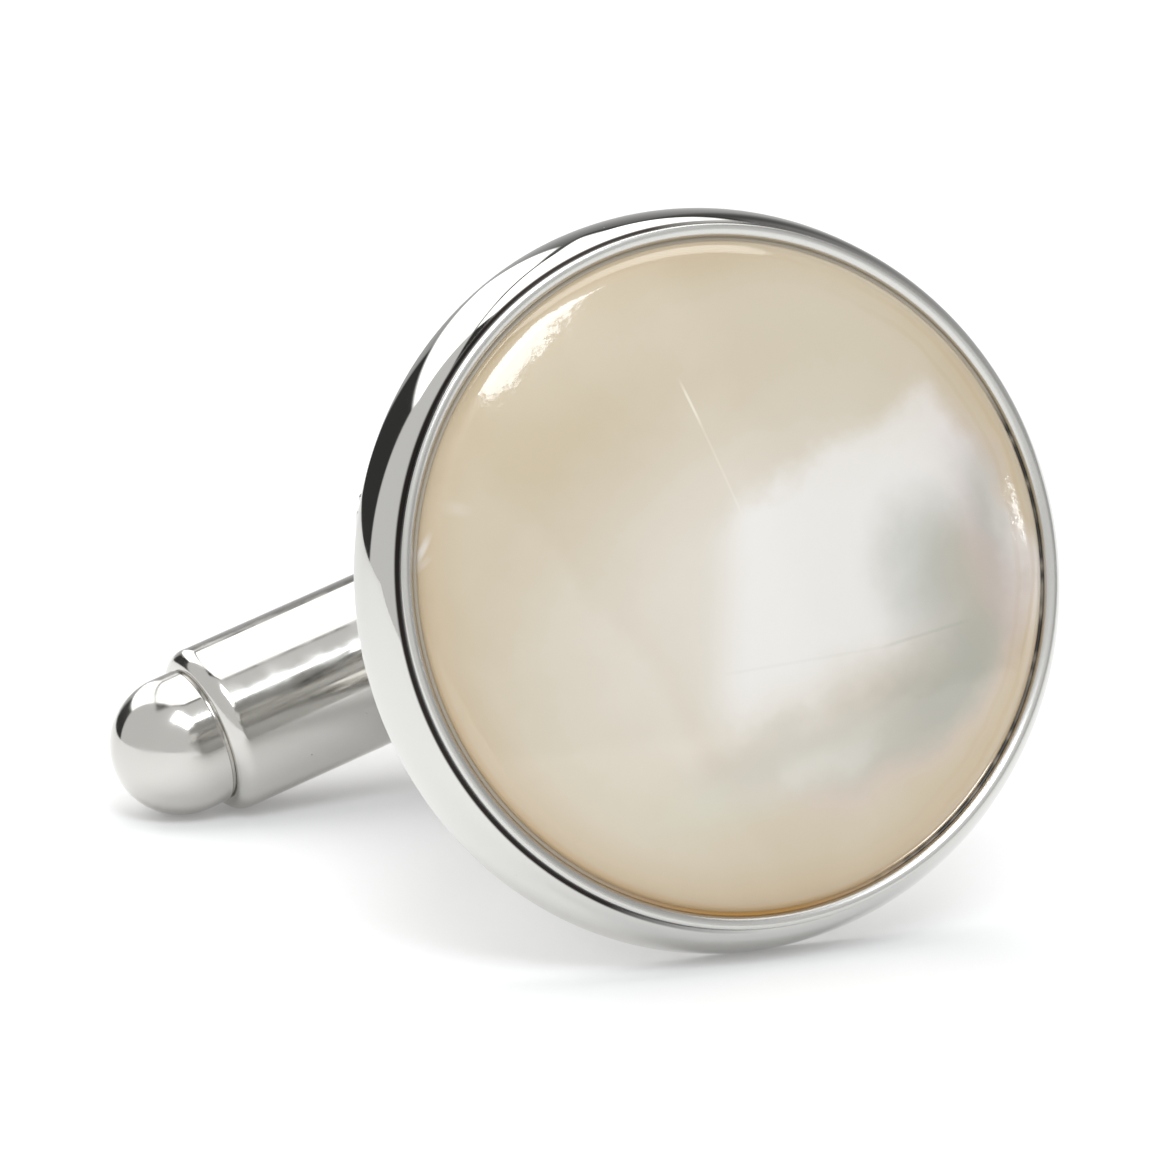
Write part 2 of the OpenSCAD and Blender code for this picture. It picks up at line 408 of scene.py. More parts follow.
def collarShell():
    # a bead at the foot and a plain neck with a rounded top, turned
    c = cupSize
    root = c["depth"] - c["collarRoot"]
    top = c["depth"] + c["collarHeight"]
    beadAt = (c["collar"] + c["beadOut"], c["depth"] + c["bead"] - c["beadSunk"])
    profile = outline(
        straight((0, root), (beadAt[0], root), 3),
        bow(beadAt, c["bead"], -80, 125, 25),
        softCorner((c["collar"], top), (0, 1), (-1, 0), c["collarTop"], 9),
        straight((c["collar"] - c["collarTop"], top), (0, top), 6),
    )
    return turned(profile, c["around"] // 2, "Y")


cupWearAndShade = {
    "creaseShade": "#2C2826", "creaseShadeRoughness": 0.3,   # painted shade in the crease below the lip
    "satin": "#D0CFCC", "satinRoughness": 0.27,   # the lip's crest, rubbed by wear
    "creaseShadeTop": 0.055, "creaseShadeFoot": 0.33,   # mm behind the lip's crest
    "creaseShadeOut": 0.04, "creaseShadeHalf": 0.08,   # mm out from the bezel, and to each side
    "creaseShadeFrom": 40, "creaseShadeTo": 252,   # degrees round the face
    "satinDeep": 0.09, "satinTo": 8.64,   # mm back, and mm out from the middle
}


def cupMarks(points):
    # "crease" is a ring of painted shade that fades out at both of its ends,
    # and "crest" a ring of satin; each is a product of ramps
    w = cupWearAndShade
    depth, radius = points[:, 1], np.hypot(points[:, 0], points[:, 2])
    aside = np.abs(radius - cupSize["bezel"] - w["creaseShadeOut"])
    turnAt = bearing(points)
    crease = ramp(depth, w["creaseShadeTop"], 0.03) * ramp(depth, w["creaseShadeFoot"], -0.05)
    crease = crease * ramp(aside, w["creaseShadeHalf"], -0.02)
    crease = crease * ramp(turnAt, w["creaseShadeTo"], -28) * ramp(turnAt, w["creaseShadeFrom"], 40)
    crest = ramp(depth, w["satinDeep"], -0.03) * ramp(radius, w["satinTo"], -0.02)
    return {"crease": crease, "crest": crest}


# The shank

shankSize = {
    "pinAt": 19.9, "endAt": 20.19, "bendAt": 6.0,   # along the post
    "inner": 2.45, "outer": 4.15, "half": 1.65, "capHalf": 1.23, "capRise": 0.52,
    "innerEdge": 0.08, "capEdge": 0.14,   # radii
    "troughDeep": 0.62, "troughHalf": 1.15, "troughFrom": 8.2, "troughTo": 16.3,
    "headAcross": 1.7, "headAlong": 1.9, "headProud": 0.06, "headBottom": 3.55,
    "headSoft": 0.05, "headCorner": 0.12,
    "fit": 0.02, "seam": 0.05, "seamDeep": 0.07,   # the fine seam round each head
    "pinRadius": 0.6, "pinHalf": 3.6,
    "spacing": 0.1,   # between rows along a leg
}
capRadius = (shankSize["capRise"] ** 2 + shankSize["capHalf"] ** 2) / (2 * shankSize["capRise"])
capCentre = shankSize["outer"] - capRadius
seamRows = np.array([-0.08, -0.055, -0.03, 0, 0.03, 0.055, 0.08])   # mm from a seam's middle

troughSkin = {
    "height": 0.035,   # mm
    "grades": [(2.2, 5, 0.5, 0.6), (1, 9, 0.21, 0.5), (1, 0, 0.11, 0.35)],   # stretch, shift, cell, share
    "rim": 0.004,   # softens the trough's rim, square mm
    "pitCells": (0.17, 0.08),   # mm
    "pitDeep": 0.09, "pitLevel": 1.12, "pitEdge": 0.25,
    "clusterAt": (-0.1, 1.6),   # across, and along from the trough's start
    "clusterSize": (0.75, 1.5), "clusterMore": 1.15,
}


def roundedBoxGap(across, along, halfAcross, halfAlong, corner):
    # distance outside a rectangle with rounded corners, negative inside
    a = np.abs(across) - halfAcross + corner
    b = np.abs(along) - halfAlong + corner
    return np.hypot(np.maximum(a, 0), np.maximum(b, 0)) + np.minimum(np.maximum(a, b), 0) - corner


def shankSection():
    # one leg's closed section as (height, across): a flat inner face, a
    # soft edge, a leaning facet, a soft edge and a cap that is part of a
    # circle, then the same mirrored. The cap has close rows where the
    # seam beside a pin's head crosses it.
    s = shankSize
    slope = (s["half"] - s["capHalf"]) / (s["outer"] - s["capRise"] - s["inner"])
    edge = (s["inner"], s["half"] + s["innerEdge"] * slope)
    facetTop = np.array([s["outer"] - s["capRise"], s["capHalf"]])
    facetWay = np.array([1, -slope]) / math.hypot(1, slope)
    lean = math.degrees(math.asin(s["capHalf"] / capRadius))
    capWay = np.array([math.sin(math.radians(lean)), -math.cos(math.radians(lean))])
    innerEdge = softCorner(edge, (0, 1), facetWay, s["innerEdge"], 9)
    capEdge = softCorner(facetTop, facetWay, capWay, s["capEdge"], 7)
    seamLean = math.degrees(math.asin((s["headAcross"] / 2 + s["fit"]) / capRadius))
    perRadian = 57.3   # degrees
    leans = np.concatenate([np.linspace(lean - 1, 0, 22), seamLean + seamRows / capRadius * perRadian])
    leans = np.unique(np.round(leans, 4))[::-1]
    a = np.radians(leans[leans < lean - 0.9])
    half = outline(
        straight((s["inner"], 0), (s["inner"], innerEdge[0, 1]), 30),
        innerEdge,
        straight(innerEdge[-1], capEdge[0], 5),
        capEdge,
        np.stack([capCentre + capRadius * np.cos(a), capRadius * np.sin(a)], 1),
    )
    return np.concatenate([half, half[-2:0:-1] * [1, -1]])


def legRows(rows, sign, seed):
    # rows of (across, along, height), with a pitted trough sunk in their
    # inner face, part of a circle across and eased away at its ends, and
    # a seam round the pin's head in their cap
    s, look = shankSize, troughSkin
    x, y, z = rows
    inTrough = np.abs(z - s["inner"]) < 1e-6
    r = (s["troughHalf"] ** 2 + s["troughDeep"] ** 2) / (2 * s["troughDeep"])
    middle = s["inner"] + s["troughDeep"] - r
    past = np.maximum(np.maximum(s["troughFrom"] - y, y - s["troughTo"]), 0)
    deep = middle + np.sqrt(np.maximum(r * r - x * x - past * past, 0)) - s["inner"]
    deep = 0.5 * (deep + np.sqrt(deep * deep + look["rim"]))
    mask = np.where(inTrough, ramp(deep, 0.03, 0.12), 0)
    skin = sum(grain(x * stretch + shift, y, cell, seed + k) * share
               for k, (stretch, shift, cell, share) in enumerate(look["grades"]))
    aside = (x - look["clusterAt"][0]) / look["clusterSize"][0]
    ahead = (y - s["troughFrom"] - look["clusterAt"][1]) / look["clusterSize"][1]
    cluster = np.exp(-(ahead ** 2 + aside ** 2))
    coarse, fine = look["pitCells"]
    spots = grain(x, y, coarse, seed + 3) + 0.6 * grain(x, y, fine, seed + 4)
    pit = mask * ramp(spots + look["clusterMore"] * cluster, look["pitLevel"], look["pitEdge"])
    sunk = np.where(deep > 0.02, deep, 0) + mask * (look["height"] * skin) + pit * look["pitDeep"]
    z = z + np.where(inTrough, sunk, 0)
    onCap = z > s["outer"] - s["capRise"]
    halfAcross, halfAlong = s["headAcross"] / 2 + s["fit"], s["headAlong"] / 2 + s["fit"]
    gap = np.abs(roundedBoxGap(x, y - s["pinAt"], halfAcross, halfAlong, s["headCorner"]))
    seam = np.clip(1 - gap / s["seam"], 0, 1)
    seam = seam * seam * (3 - 2 * seam)
    z = z - np.where(onCap, seam * s["seamDeep"], 0)
    return np.stack([x, y, sign * z], -1), mask, pit


def shankShell():
    # one closed section carried up one leg's round end, along the leg,
    # round the bend, along the other leg and round its end. At an end the
    # two halves of the section close on each other like a clam:
    # across = u cos t, along = end + |u| sin t. On the bend the section's
    # height is the radius: along = centre - v sin t, up = v cos t.
    s = shankSize
    v, u = shankSection().T
    seamAt = s["pinAt"] - s["headAlong"] / 2 - s["fit"]
    evenly = np.arange(s["bendAt"], s["endAt"], s["spacing"])
    along = np.concatenate([evenly, seamAt + seamRows, [s["endAt"]]])
    along = np.unique(np.round(along, 4))[::-1, None]
    clam = np.radians(np.linspace(90, 0, 22))[:-1, None]
    bend = np.radians(np.linspace(0, 180, 81))[1:-1, None]
    endRows = (np.cos(clam) * u, s["endAt"] + np.sin(clam) * np.abs(u), 0 * clam + v)
    runRows = (0 * along + u, along + 0 * u, 0 * along + v)
    bendRows = np.stack([0 * bend + u, s["bendAt"] - np.sin(bend) * v, np.cos(bend) * v], -1)
    upper = legRows([np.concatenate(p) for p in zip(endRows, runRows)], 1, 3)
    lower = legRows([np.concatenate(p)[::-1] for p in zip(endRows, runRows)], -1, 11)
    points = np.concatenate([upper[0], bendRows, lower[0]])
    blank = np.zeros(bendRows.shape[:2])
    cast = np.concatenate([upper[1], blank, lower[1]])
    pit = np.concatenate([upper[2], blank, lower[2]])
    shell = (points.reshape(-1, 3), gridFaces(points.shape[0], points.shape[1]))
    return shell, {"cast": cast.ravel(), "pit": pit.ravel()}


# The pin


def headShell(sign):
    # rings of a rounded rectangle, from the middle of the head's domed
    # top out to its soft edge, down its wall and closed underneath
    s = shankSize
    soft, corner = s["headSoft"], s["headCorner"]
    a = np.linspace(0, 2 * np.pi, 160, endpoint=False)

    def ring(inset, scale):
        # corners are quarter circles about the corner of a smaller box
        halfAcross, halfAlong = s["headAcross"] / 2 - corner, s["headAlong"] / 2 - corner
        quarter = np.floor(a / (np.pi / 2)).astype(int) % 4
        signX = np.array([1, -1, -1, 1])[quarter]
        signY = np.array([1, 1, -1, -1])[quarter]
        r = corner - inset
        return scale * (signX * halfAcross + r * np.cos(a)), scale * (signY * halfAlong + r * np.sin(a))

    def top(x):
        # the leg's cap, a little proud
        return capCentre + np.sqrt((capRadius + s["headProud"]) ** 2 - x * x)

    rows = []
    for scale in np.linspace(0, 1, 14):
        x, y = ring(soft, scale)
        rows.append((x, y, top(x)))
    for t in np.radians(np.linspace(0, 90, 8))[1:]:
        x, y = ring(soft * (1 - math.sin(t)), 1)
        rows.append((x, y, top(x) - soft * (1 - math.cos(t))))
    x, y = ring(0, 1)
    rows.append((x, y, 0 * x + s["headBottom"]))
    rows.append((0 * x, 0 * y, 0 * x + s["headBottom"]))
    points = np.array(rows).transpose(0, 2, 1)
    points = points * [1, 1, sign] + [0, s["pinAt"], 0]
    return points.reshape(-1, 3), gridFaces(len(rows), len(a))


def pinShells():
    # a plain turned shaft, with a head at each end
    s = shankSize
    radius, half = s["pinRadius"], s["pinHalf"]
    profile = outline(
        straight((0, -half), (radius, -half)),
        straight((radius, -half), (radius, half), 4),
        straight((radius, half), (0, half)),
    )
    shaft, faces = turned(profile, 64, "Z")
    return [(shaft + [0, s["pinAt"], 0], faces), headShell(1), headShell(-1)]


# The toggle bar

barSize = {
    "radius": 2.25, "shoulderAt": 7.7, "shoulderRadius": 0.5, "groove": 0.09, "grooveRadius": 1.78,
    "bullet": 1.85, "bulletAt": 8.35, "bulletLip": 0.05,
    "bore": 0.65, "boreReach": 4, "boreAround": 64,
    "boreRows": (0, 0.8, 1.1, 3.0),   # rows of the bar about its bore, mm from its middle
    "around": 256,
    "sharp": 50,   # degrees between faces whose edge stays sharp
}


def barShell():
    # half the profile from the middle out: the bar, its rounded shoulder,
    # a fine groove and the bullet end. Mirrored and turned about the bar.
    b = barSize
    start = b["shoulderAt"] - b["shoulderRadius"] + 0.05
    reach = math.degrees(math.asin((b["shoulderAt"] - start) / b["shoulderRadius"]))
    shoulder = bow((b["radius"] - b["shoulderRadius"], start), b["shoulderRadius"], 0, reach, 18)
    lip = b["shoulderAt"] + b["groove"]
    half = outline(
        [(b["radius"], row) for row in b["boreRows"]],
        straight((b["radius"], b["boreRows"][-1] + 0.01), (b["radius"], start), 4),
        shoulder,
        [(b["grooveRadius"], b["shoulderAt"] + 0.01), (b["grooveRadius"], lip - 0.02)],
        bow((b["bullet"] - b["bulletLip"], lip + 0.03), b["bulletLip"], -90, 0, 7),
        straight((b["bullet"], lip + 0.04), (b["bullet"], b["bulletAt"]), 2),
        bow((0, b["bulletAt"]), b["bullet"], 0, 90, 40),
    )
    half[-1, 0] = 0
    profile = np.concatenate([half[:0:-1] * [1, -1], half])
    points, faces = turned(profile, b["around"], "X")
    return points + [0, shankSize["pinAt"], 0], faces


def cutBore(bar, material):
    # drills the bar for the pin with a prism of many sides, and keeps
    # edges sharp where it opens
    count, reach = barSize["boreAround"], barSize["boreReach"]
    a = np.linspace(0, 2 * np.pi, count, endpoint=False)
    ring = np.stack([np.cos(a), np.sin(a), 0 * a], 1) * barSize["bore"]
    points = np.concatenate([ring - [0, 0, reach], ring + [0, 0, reach]]) + [0, shankSize["pinAt"], 0]
    k = np.arange(count)
    ends = [k.tolist(), (k[::-1] + count).tolist()]
    sides = np.stack([k, k + count, (k + 1) % count + count, (k + 1) % count], 1)
    mesh = bpy.data.meshes.new("drill")
    mesh.from_pydata(layDown(points).tolist(), [], ends + sides.tolist())
    drill = addObject("drill", mesh)
    cut = bar.modifiers.new("bore", "BOOLEAN")
    cut.object, cut.operation, cut.solver = drill, "DIFFERENCE", "EXACT"
    bpy.context.view_layer.update()
    made = bpy.data.meshes.new_from_object(bar.evaluated_get(bpy.context.evaluated_depsgraph_get()))
    bar.modifiers.clear()
    bar.data = made
    made.materials.clear()
    made.materials.append(material)
    made.polygons.foreach_set("use_smooth", np.ones(len(made.polygons), bool))
    made.set_sharp_from_angle(angle=math.radians(barSize["sharp"]))
    bpy.data.objects.remove(drill)


# The stone

stoneSize = {
    "girdle": 8.20, "back": 1.22, "backEdge": 0.15, "domeOut": 1.3, "sphere": 28.0,
    "softAt": 7.75, "softRadius": 0.8,   # the dome's soft shoulder
    "around": 448,
    "map": 18.0,   # mm across the map that its pattern is drawn on
}


def stoneShell():
    # flat back, upright girdle, a soft shoulder and a low dome that is
    # part of a sphere, turned. Shoulder and dome are arcs that touch.
    s = stoneSize
    domeAt = np.array([0, s["sphere"] - s["domeOut"]])
    touch = math.asin(s["softAt"] / s["sphere"])
    softAt = domeAt + (s["sphere"] - s["softRadius"]) * np.array([math.sin(touch), -math.cos(touch)])
    brink = math.degrees(math.asin((s["girdle"] - 0.01 - softAt[0]) / s["softRadius"]))
    shoulder = bow(softAt, s["softRadius"], brink - 90, math.degrees(touch) - 90, 34)
    backIn, backUp = s["girdle"] - s["backEdge"], s["back"] - s["backEdge"]
    profile = outline(
        straight((0, s["back"]), (backIn, s["back"]), 8),
        straight((backIn, s["back"]), (s["girdle"], backUp)),
        straight((s["girdle"], backUp), (s["girdle"], shoulder[0, 1] + 0.02), 4),
        shoulder,
        bow(domeAt, s["sphere"], math.degrees(touch) - 90, -90, 110),
    )
    profile[-1, 0] = 0
    return turned(profile, s["around"], "Y")


def stoneMap(points):
    # across and up on the face, as shares of the map, from its corner
    return points[:, [0, 2]] / stoneSize["map"] + 0.5


pearlLook = {
    "cream": "#BCAD92", "creamPale": "#C8BFAD", "rim": "#AC8852", "silver": "#E0DDDA",
    "smoke": "#9A9C91", "rose": "#C5B1B0", "leaf": "#B9C2B2", "tan": "#B09973", "edgeGlow": "#BD9250",
    "hair": "#F6F0E4", "crack": "#8E9484", "honey": "#B6A688",
    "roughness": 0.32, "ior": 1.56,
    "coatRoughness": 0.06, "coatIor": 1.68,   # the polished face over the layers
    "glow": 0.12, "glowReach": 0.6,   # light that scatters inside, and how far in mm
    "glowSpread": (1.0, 0.9, 0.75),
    "frayScale": 1700.0, "frayHeight": 0.006,   # per metre, and mm
    "cloudScale": 0.42, "wander": 1.7,   # per mm, and mm that edges wander
    "bandScale": 0.3,   # per mm
    "ringPitch": 15.0, "ringWaver": 7.0,   # radians to the mm, and radians
}


def nacre(name):
    # polished mother-of-pearl: cream aragonite layers, with one milky
    # silver field where the layers lie flat to the surface, partly a painted
    # reflection of a softbox, and a smoky crescent, green and rose at its
    # edges, where they dip. A paler band across the top is a painted
    # reflection too, the amber at the lower left edge a painted glow, and the
    # scuffs by the edge carry painted glints. Drawn on the face's own map, in
    # millimetres from its middle.
    look = pearlLook
    material, tree, shader = newMaterial(name)
    uv = addNode(tree, "UVMap", {"uv_map": "face"})
    side, wander = stoneSize["map"], look["wander"]
    flat = addNode(tree, "VectorMath",
                   {"operation": "MULTIPLY_ADD", 1: (side, side, 0), 2: (-side / 2, -side / 2, 0)},
                   {0: uv.outputs[0]}).outputs[0]
    cloud = addNode(tree, "TexNoise",
                    {"Scale": look["cloudScale"], "Detail": 4.0, "Roughness": 0.55}, {"Vector": flat})
    drift = addNode(tree, "VectorMath",
                    {"operation": "MULTIPLY_ADD", 1: (wander, wander, 0), 2: (-wander / 2, -wander / 2, 0)},
                    {0: cloud.outputs["Color"]})
    spot = addNode(tree, "VectorMath", {"operation": "ADD"}, {0: flat, 1: drift.outputs[0]}).outputs[0]
    far = addNode(tree, "VectorMath", {"operation": "LENGTH"}, {0: flat}).outputs["Value"]

    def times(made, *factors):
        # product of masks and numbers
        for factor in factors:
            made = addNode(tree, "Math", {"operation": "MULTIPLY"}, {0: made, 1: factor}).outputs[0]
        return made

    def ease(value, low, high):
        # 0 at low, 1 at high and smooth between
        return addNode(tree, "MapRange",
                       {"interpolation_type": "SMOOTHSTEP", "From Min": low, "From Max": high},
                       {"Value": value}).outputs[0]

    def across(point, way, source):
        # signed distance from a line through a point, along way
        way = np.array([*way, 0.0]) / math.hypot(*way)
        dot = addNode(tree, "VectorMath", {"operation": "DOT_PRODUCT", 1: tuple(way)}, {0: source})
        return addNode(tree, "Math", {"operation": "SUBTRACT"},
                       {0: dot.outputs["Value"], 1: float(way[:2] @ point)}).outputs[0]

    def beyond(point, way, soft, source=spot):
        # 0 to 1 across a soft line, rising along way
        return ease(across(point, way, source), -soft, soft)

    def stroke(start, end, width, soft, source=flat):
        # 1 on a thin line from start to end, easing off beside it
        way = (end[0] - start[0], end[1] - start[1])
        aside = across(start, (way[1], -way[0]), source)
        beside = addNode(tree, "Math", {"operation": "ABSOLUTE"}, {0: aside}).outputs[0]
        ends = times(beyond(start, way, 0.3, source), beyond(end, (-way[0], -way[1]), 0.3, source))
        return times(ease(beside, width + soft, width), ends)

    def within(centre, radiusX, radiusY, soft, source=spot):
        # 1 inside an ellipse, easing to 0 over soft as a share of it
        moved = addNode(tree, "VectorMath", {"operation": "SUBTRACT", 1: (*centre, 0)}, {0: source})
        sized = addNode(tree, "VectorMath",
                        {"operation": "MULTIPLY", 1: (1 / radiusX, 1 / radiusY, 0)}, {0: moved.outputs[0]})
        away = addNode(tree, "VectorMath", {"operation": "LENGTH"}, {0: sized.outputs[0]})
        return ease(away.outputs["Value"], 1 + soft, 1 - soft)

    bands = addNode(tree, "TexNoise",
                    {"Scale": look["bandScale"], "Detail": 4.0, "Distortion": 0.8}, {"Vector": flat})
    # the silver field, partly a painted reflection of a softbox: soft sides,
    # its left one the sharpest
    field = times(beyond((-1.2, -0.8), (0.91, -0.41), 0.8, flat), beyond((3.0, 1.95), (0.12, -1.0), 0.4),
                  beyond((6.75, 1.2), (-0.99, -0.25), 0.35), beyond((1.5, -3.15), (0.05, 1.0), 1.0))
    # the crescent: between an outer and an inner ellipse, right and
    # below, and a smoky cloud in its right horn
    outer = within((1.4, -0.6), 5.8, 5.35, 0.1)
    hollow = addNode(tree, "Math", {"operation": "SUBTRACT"},
                     {0: 1.0, 1: within((0.7, 0.4), 5.1, 4.5, 0.26)}).outputs[0]
    low = times(outer, hollow, beyond((3.2, -1.6), (0.5, -0.86), 1.5), beyond((0.7, -4.4), (1.0, 0.1), 3.2))
    horn = times(within((5.15, -2.1), 1.75, 1.8, 0.75), 0.84)
    smoky = addNode(tree, "Math", {"operation": "MAXIMUM"},
                    {0: times(low, 0.93), 1: times(horn, outer)}).outputs[0]
    rosy = times(within((1.5, -0.8), 6.1, 5.6, 0.08), hollow, beyond((2.0, -1.0), (0.6, -0.8), 1.8))
    # growth lines: rings whose radius wavers, beside the right edge
    wave = addNode(tree, "Math", {"operation": "ADD"},
                   {0: times(far, look["ringPitch"]), 1: times(cloud.outputs[0], look["ringWaver"])})
    rings = addNode(tree, "Math", {"operation": "SINE"}, {0: wave.outputs[0]}).outputs[0]
    growth = times(ease(rings, 0.1, 1.0), ease(far, 6.9, 7.6), beyond((3.6, -2.0), (0.95, -0.3), 2.2, flat))
    lowerLeft = beyond((-2.0, -2.0), (-0.45, -0.89), 5.0, flat)
    # each layer's colour, place and strength, in the order they are laid
    # over the cream ground
    layers = [
        # broad faint bands, paler at the lower left, and a paler band across the
        # top that is a painted reflection of a softbox
        ("creamPale", ease(bands.outputs[0], 0.35, 0.7), 0.3),
        ("creamPale", within((-3.6, -2.4), 4.4, 3.6, 0.8), 0.75),
        ("creamPale", within((1.3, 6.1), 3.6, 1.0, 0.7), 0.4),
        ("honey", times(beyond((-4.3, 2.0), (1.0, 0.25), 0.35), beyond((-1.0, 3.0), (-1.0, 0.1), 2.2)), 0.5),
        # a silver halo and its field, partly a painted reflection of a softbox
        ("silver", within((0.9, -0.6), 5.6, 4.0, 0.6), 0.48),
        ("silver", field, 0.85),
        # the crescent, and the tints and wisps beside it
        ("rose", rosy, 0.32),
        ("smoke", smoky, 0.82),
        ("rose", within((6.2, -2.2), 0.6, 1.8, 0.8), 0.4),
        ("tan", within((5.6, -2.3), 0.9, 1.3, 0.8), 0.22),
        ("leaf", within((-1.2, -4.9), 3.0, 0.7, 0.6), 0.25),
        ("smoke", within((-1.3, -4.1), 2.0, 0.6, 0.7), 0.2),
        ("silver", stroke((-1.5, -4.8), (1.4, -5.1), 0.02, 0.7, spot), 0.2),
        ("creamPale", within((4.6, 4.3), 2.8, 2.2, 0.8), 0.6),
        ("tan", growth, 0.2),
        # tan and amber towards the edge, strongest at the lower left: partly the
        # pearl's own tan, partly a painted glow of light coming through the thin edge
        ("rim", ease(far, 6.9, 8.3), 0.22),
        ("rim", times(ease(far, 6.6, 8.3), lowerLeft), 0.22),
        ("edgeGlow", times(ease(far, 8.0, 8.1), lowerLeft), 0.35),
        # a fine crack, a hair-fine pale mark and some pale scuffs by the edge, the
        # scuffs painted as glints of light
        ("crack", stroke((-1.6, -2.0), (2.9, -3.1), 0.012, 0.05), 0.07),
        ("crack", stroke((2.6, -3.0), (4.9, -3.3), 0.015, 0.05), 0.22),
        ("hair", stroke((0.23, 4.75), (0.25, 1.5), 0.01, 0.035), 0.14),
        ("hair", stroke((0.23, 4.8), (0.24, 3.9), 0.012, 0.04), 0.35),
        # scratches by the edge, with painted glints
        ("silver", stroke((-7.45, 3.45), (-7.05, 3.85), 0.02, 0.08), 0.6),
        ("silver", stroke((-7.45, 3.3), (-7.3, 3.38), 0.03, 0.08), 0.4),
        ("silver", stroke((-6.3, 4.35), (-5.95, 4.15), 0.04, 0.2), 0.18),
    ]
    ground = linear(look["cream"])
    for colour, where, strength in layers:
        ground = addNode(tree, "Mix", {"data_type": "RGBA", 7: linear(look[colour])},
                         {0: times(where, strength), 6: ground}).outputs[2]
    # the polish is a little uneven, so the lamp's image has a frayed edge
    onPiece = {"Vector": addNode(tree, "TexCoord").outputs["Object"]}
    fray = addNode(tree, "TexNoise", {"Scale": look["frayScale"], "Detail": 4.0}, onPiece)
    bump = addNode(tree, "Bump", {"Strength": 1.0, "Distance": look["frayHeight"] * mm},
                   {"Height": fray.outputs[0]})
    feed(tree, shader, {
        "Base Color": ground, "Roughness": look["roughness"], "IOR": look["ior"],
        "Coat Weight": 1.0, "Coat IOR": look["coatIor"], "Coat Roughness": look["coatRoughness"],
        "Coat Normal": bump.outputs[0],
        "Subsurface Weight": look["glow"], "Subsurface Radius": look["glowSpread"],
        "Subsurface Scale": look["glowReach"] * mm,
    })
    return material


glueLook = {
    "inside": 8.185, "outside": 8.30, "top": 0.155, "sag": 0.03, "bottom": 0.5,
    "colour": "#A39A8C",   # clear glue over dark metal, greyed
    "edgeGlowColour": "#B98C48",   # painted glow of light coming through the stone's edge, at the lower left
    "gapShadow": "#26221E",   # painted shadow in the gap between stone and lip, at the lower right
    "roughness": 0.35,
    "edgeGlowAt": 250, "edgeGlowWide": 24,   # degrees round the face
    "gapShadowFrom": 272, "gapShadowTo": 14,
    "raggedCell": 1.6, "raggedSeed": 21,  # degrees
}


def glueShell():
    # a hollow-topped line of glue between lip and stone, turned: depth =
    # top + sag * (1 - (2 t - 1)^2) across its width
    g = glueLook
    t = np.linspace(0, 1, 9)
    radius = g["inside"] + (g["outside"] - g["inside"]) * t
    top = np.stack([radius, g["top"] + g["sag"] * (1 - (2 * t - 1) ** 2)], 1)
    profile = outline(top, [(g["outside"], g["bottom"]), (g["inside"], g["bottom"]), tuple(top[0])])
    return turned(profile, stoneSize["around"], "Y")


def glueMarks(points):
    # the first mark, a painted glow, is a bell about one bearing, and the
    # second, a painted shadow, a stretch with ramped ends and a ragged strength
    g = glueLook
    turnAt = bearing(points)
    edgeGlow = np.exp(-((turnAt - g["edgeGlowAt"]) / g["edgeGlowWide"]) ** 2)
    lowerRight = ramp(turnAt, g["gapShadowFrom"], 12) + ramp(turnAt, g["gapShadowTo"], -10) * (turnAt < 180)
    ragged = 0.5 * grain(turnAt, 0 * turnAt, g["raggedCell"], g["raggedSeed"]) - 0.15
    return {"edgeGlow": edgeGlow, "gapShadow": np.clip(lowerRight + ragged, 0, 1) * (lowerRight > 0)}


def clearGlueWithPaintedLight(name):
    # clear glue, with a painted amber glow at the lower left, where light
    # comes through the stone's edge, and a painted dark shadow line at the
    # lower right, in the gap beside the stone
    look = glueLook
    material, tree, shader = newMaterial(name)
    edgeGlow = addNode(tree, "Attribute", {"attribute_name": "edgeGlow"}).outputs["Fac"]
    gapShadow = addNode(tree, "Attribute", {"attribute_name": "gapShadow"}).outputs["Fac"]
    warm = addNode(tree, "Mix",
                   {"data_type": "RGBA", 6: linear(look["colour"]), 7: linear(look["edgeGlowColour"])}, {0: edgeGlow})
    dark = addNode(tree, "Mix", {"data_type": "RGBA", 7: linear(look["gapShadow"])},
                   {0: gapShadow, 6: warm.outputs[2]})
    feed(tree, shader, {"Base Color": dark.outputs[2], "Roughness": look["roughness"]})
    return material


# The pieces

metals = {
    "barColour": "#CFCDC9", "barRoughness": 0.13,   # plate a little dulled by handling
    "pinColour": "#D2D0CC", "pinRoughness": 0.08,   # steel, filed flush and buffed with the legs
}

cupMetal = polishedPlate("polishedWhitePlate", plateLook["colour"], plateLook["roughness"])
# painted shade in the crease below the lip, then the satin crest
overlay(cupMetal, "crease", cupWearAndShade["creaseShade"], cupWearAndShade["creaseShadeRoughness"])
overlay(cupMetal, "crest", cupWearAndShade["satin"], cupWearAndShade["satinRoughness"])
barMetal = polishedPlate("polishedWhitePlateBar", metals["barColour"], metals["barRoughness"])
pinMetal = polishedPlate("filedPinSteel", metals["pinColour"], metals["pinRoughness"])
shankMetal = castAndPolished("castAndPolishedPlate")
pearl = nacre("polishedMotherOfPearl")
glueMaterial = clearGlueWithPaintedLight("clearGlueWithPaintedGlowAndShadow")
print("materials made")

